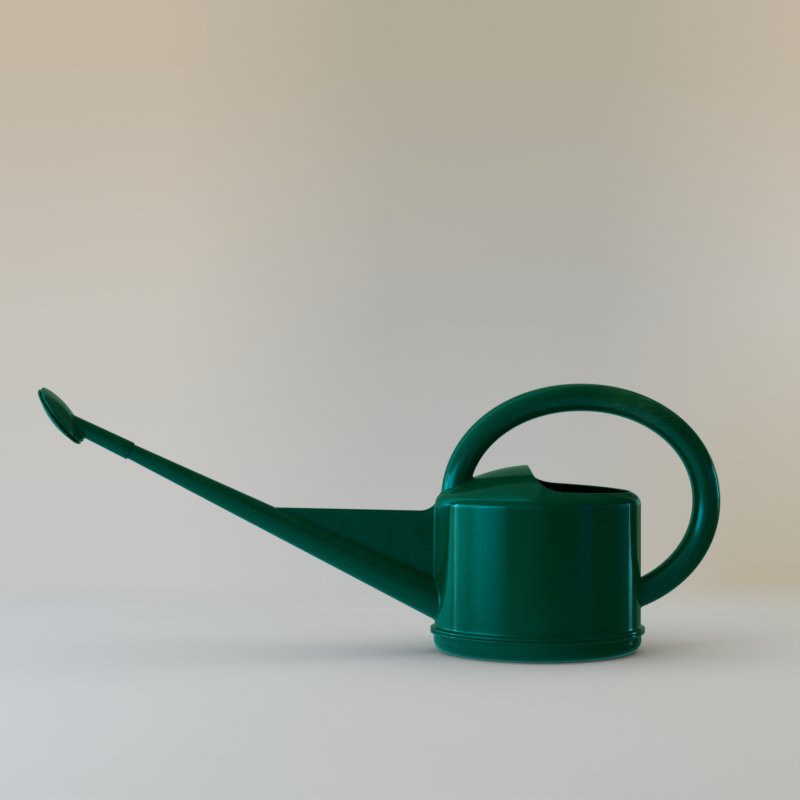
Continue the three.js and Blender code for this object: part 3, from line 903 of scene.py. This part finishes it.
# ---- stage ---------------------------------------------------------------------------------------
def build_floor():
    """A pale disc that fades out past the table's edges."""
    sides, reach = 96, (0.1, 0.3, 0.5, 0.7, 0.9, 1.1, 1.4)
    turn = np.linspace(0, 2 * math.pi, sides, endpoint=False)
    rings = np.array([[(r * math.cos(a), r * math.sin(a), 0) for a in turn] for r in reach])
    bm = skin(rings)
    bm.faces.new(sorted(bm.verts, key=lambda v: v.index)[:sides])
    mesh = bpy.data.meshes.new("floor")
    bm.to_mesh(mesh)
    bm.free()
    floor = bpy.data.objects.new("floor", mesh)
    floor.location = (0, 0, -TABLE_DROP)
    bpy.context.scene.collection.objects.link(floor)
    material, tree, shader = new_material("floor_paint")
    clouds = stretched_noise(tree, (1, 1, 1), 3, 3)
    place = tree.nodes.new("ShaderNodeTexCoord")
    split = tree.nodes.new("ShaderNodeSeparateXYZ")
    tree.links.new(place.outputs["Object"], split.inputs["Vector"])
    # painted light: the table goes from a cool tint on the left to a warm tint on the right
    across = remap(tree, split.outputs["X"], *TABLE_X, 0, 1)
    cool = mixed(tree, clouds, *TABLE_COOL_LIGHT_TINT)
    warm = mixed(tree, clouds, *TABLE_WARM_LIGHT_TINT)
    tree.links.new(mixed(tree, across, cool, warm), shader.inputs["Base Color"])
    shader.inputs["Roughness"].default_value = 0.9
    shader.inputs["Specular IOR Level"].default_value = 0.1
    solid = 1
    for axis, (low, high) in (("X", TABLE_X), ("Y", TABLE_Y)):
        rise = remap(tree, split.outputs[axis], low - TABLE_FADE, low + TABLE_FADE, 0, 1)
        fall = remap(tree, split.outputs[axis], high - TABLE_FADE, high + TABLE_FADE, 1, 0)
        solid = math_node(tree, "MULTIPLY", solid, math_node(tree, "MULTIPLY", rise, fall))
    tree.links.new(solid, shader.inputs["Alpha"])
    mesh.materials.append(material)
    floor.visible_glossy = False


def ramp(tree, value, stops):
    """A colour ramp with (position, colour and alpha) stops, and its colour and alpha sockets."""
    node = tree.nodes.new("ShaderNodeValToRGB")
    elements = node.color_ramp.elements
    for position, _ in stops[1:-1]:
        elements.new(position)
    for element, (position, colour) in zip(elements, stops):
        element.position = position
        element.color = colour
    tree.links.new(value, node.inputs["Fac"])
    return node.outputs["Color"], node.outputs["Alpha"]


def multiplied(tree, first, second):
    node = tree.nodes.new("ShaderNodeVectorMath")
    node.operation = "MULTIPLY"
    tree.links.new(first, node.inputs[0])
    tree.links.new(second, node.inputs[1])
    return node.outputs["Vector"]


def build_world():
    world = bpy.data.worlds.new("room")
    bpy.context.scene.world = world
    world.use_nodes = True
    tree = world.node_tree
    tree.nodes.clear()
    output = tree.nodes.new("ShaderNodeOutputWorld")
    place = tree.nodes.new("ShaderNodeTexCoord")
    split = tree.nodes.new("ShaderNodeSeparateXYZ")
    tree.links.new(place.outputs["Generated"], split.inputs["Vector"])

    around = tree.nodes.new("ShaderNodeTexGradient")
    around.gradient_type = "RADIAL"
    tree.links.new(place.outputs["Generated"], around.inputs["Vector"])
    bearings = [(bearing / 360 + 0.5, (*colour, tall)) for bearing, colour, tall in ROOM]
    walls, tall = ramp(tree, around.outputs["Fac"], bearings)
    heights = [(sine / 2 + 0.5, (*colour, 1)) for sine, colour in HEIGHTS]
    level, _ = ramp(tree, remap(tree, split.outputs["Z"], -1, 1, 0, 1), heights)
    level = mixed(tree, tall, level, (1.0, 1.0, 1.0))
    below_top = math_node(tree, "MAXIMUM", remap(tree, split.outputs["Z"], *WINDOW_TOP, 1, 0), tall)
    ceiling = mixed(tree, remap(tree, split.outputs["X"], -0.8, 0.1, 0, 1), CEILING_LEFT, CEILING_RIGHT)
    ground = mixed(tree, remap(tree, split.outputs["X"], -0.8, 0.8, 0, 1), GROUND_LEFT, GROUND_RIGHT)
    room = mixed(tree, below_top, ceiling, multiplied(tree, walls, level))
    room = mixed(tree, remap(tree, split.outputs["Z"], *TABLE_LINE, 0, 1), ground, room)

    across = math_node(tree, "DIVIDE", split.outputs["X"], split.outputs["Y"])
    rise = math_node(tree, "DIVIDE", split.outputs["Z"], split.outputs["Y"])
    aside = math_node(tree, "ABSOLUTE", math_node(tree, "ADD", across, -0.055), 0)
    aside = remap(tree, aside, 0.06, 0.19, 0, 1)
    cloth = stretched_noise(tree, (1, 1, 1), 5, 2)
    aside = math_node(tree, "ADD", aside, remap(tree, cloth, 0.3, 0.7, -0.08, 0.08))
    shades = [mixed(tree, aside, *pair) for pair in (BACKDROP_LOW, BACKDROP_MIDDLE, BACKDROP_HIGH)]
    low = mixed(tree, remap(tree, across, 0.08, 0.2, 0, 1), shades[0], BACKDROP_CORNER)
    backdrop = mixed(tree, remap(tree, rise, -0.14, 0.02, 0, 1), low, shades[1])
    backdrop = mixed(tree, remap(tree, rise, 0.02, 0.16, 0, 1), backdrop, shades[2])

    seen = tree.nodes.new("ShaderNodeLightPath")
    lit = tree.nodes.new("ShaderNodeBackground")
    shown = tree.nodes.new("ShaderNodeBackground")
    soft = mixed(tree, remap(tree, split.outputs["X"], -0.8, 0.8, 0, 1), SOFT_LEFT, SOFT_RIGHT)
    mirrored = mixed(tree, seen.outputs["Is Glossy Ray"], soft, room)
    tree.links.new(mirrored, lit.inputs["Color"])
    tree.links.new(backdrop, shown.inputs["Color"])
    mix = tree.nodes.new("ShaderNodeMixShader")
    tree.links.new(seen.outputs["Is Camera Ray"], mix.inputs["Fac"])
    tree.links.new(lit.outputs["Background"], mix.inputs[1])
    tree.links.new(shown.outputs["Background"], mix.inputs[2])
    tree.links.new(mix.outputs["Shader"], output.inputs["Surface"])


def panel(name, place, size, power, colour):
    """A wide soft light aimed at the tank, too dull to be mirrored."""
    data = bpy.data.lights.new(name, "AREA")
    data.shape = "RECTANGLE"
    data.size, data.size_y = size
    data.energy = power
    data.color = colour
    light = bpy.data.objects.new(name, data)
    light.location = place
    aim = Vector((TANK_X, 0, 0.1)) - light.location
    light.rotation_euler = aim.to_track_quat("-Z", "Y").to_euler()
    light.visible_camera = False
    light.visible_glossy = False
    bpy.context.scene.collection.objects.link(light)


def build_lights():
    panel("ceiling_left", (-1.0, -0.3, 2.2), (2.4, 2.4), 20, (0.94, 0.98, 1.06))
    panel("ceiling_right", (1.0, 0.3, 2.2), (2.4, 2.4), 19, (1.02, 0.97, 0.88))
    panel("window", (TANK_X - 1.4, -0.55, 0.25), (1.3, 0.5), 7.5, (0.85, 0.97, 1.08))


def build_camera():
    data = bpy.data.cameras.new("camera")
    data.sensor_width = SENSOR_MM
    data.lens = SENSOR_MM * FOCAL_PX / IMAGE_PX
    camera = bpy.data.objects.new("camera", data)
    pitch = math.atan(HORIZON_PX / FOCAL_PX)
    camera.location = CAMERA_AT
    camera.rotation_euler = (math.pi / 2 - pitch, 0, 0)
    bpy.context.scene.collection.objects.link(camera)
    bpy.context.scene.camera = camera


# ---- the whole scene -----------------------------------------------------------------------------
can_green = green_plastic("can_green", CAN_GREENS, roughness=0.07, streak=DRAWN)
spout_green = green_plastic("spout_green", PART_GREENS, roughness=0.2, streak=EVEN)
handle_green = green_plastic("handle_green", HANDLE_GREENS, roughness=0.11, streak=EVEN, painted_sheen=True)
rose_green = green_plastic("rose_green", PART_GREENS, roughness=0.18, streak=EVEN)

tank_surface = build_tank(can_green)
build_pan(can_green)
build_handle(tank_surface, handle_green)
build_spout(tank_surface, spout_green)
build_web(tank_surface, spout_green)
build_sleeve(rose_green)
build_rose(rose_green)
build_face(rose_green)

build_floor()
build_world()
build_lights()
build_camera()
bpy.context.scene.view_settings.view_transform = "Standard"
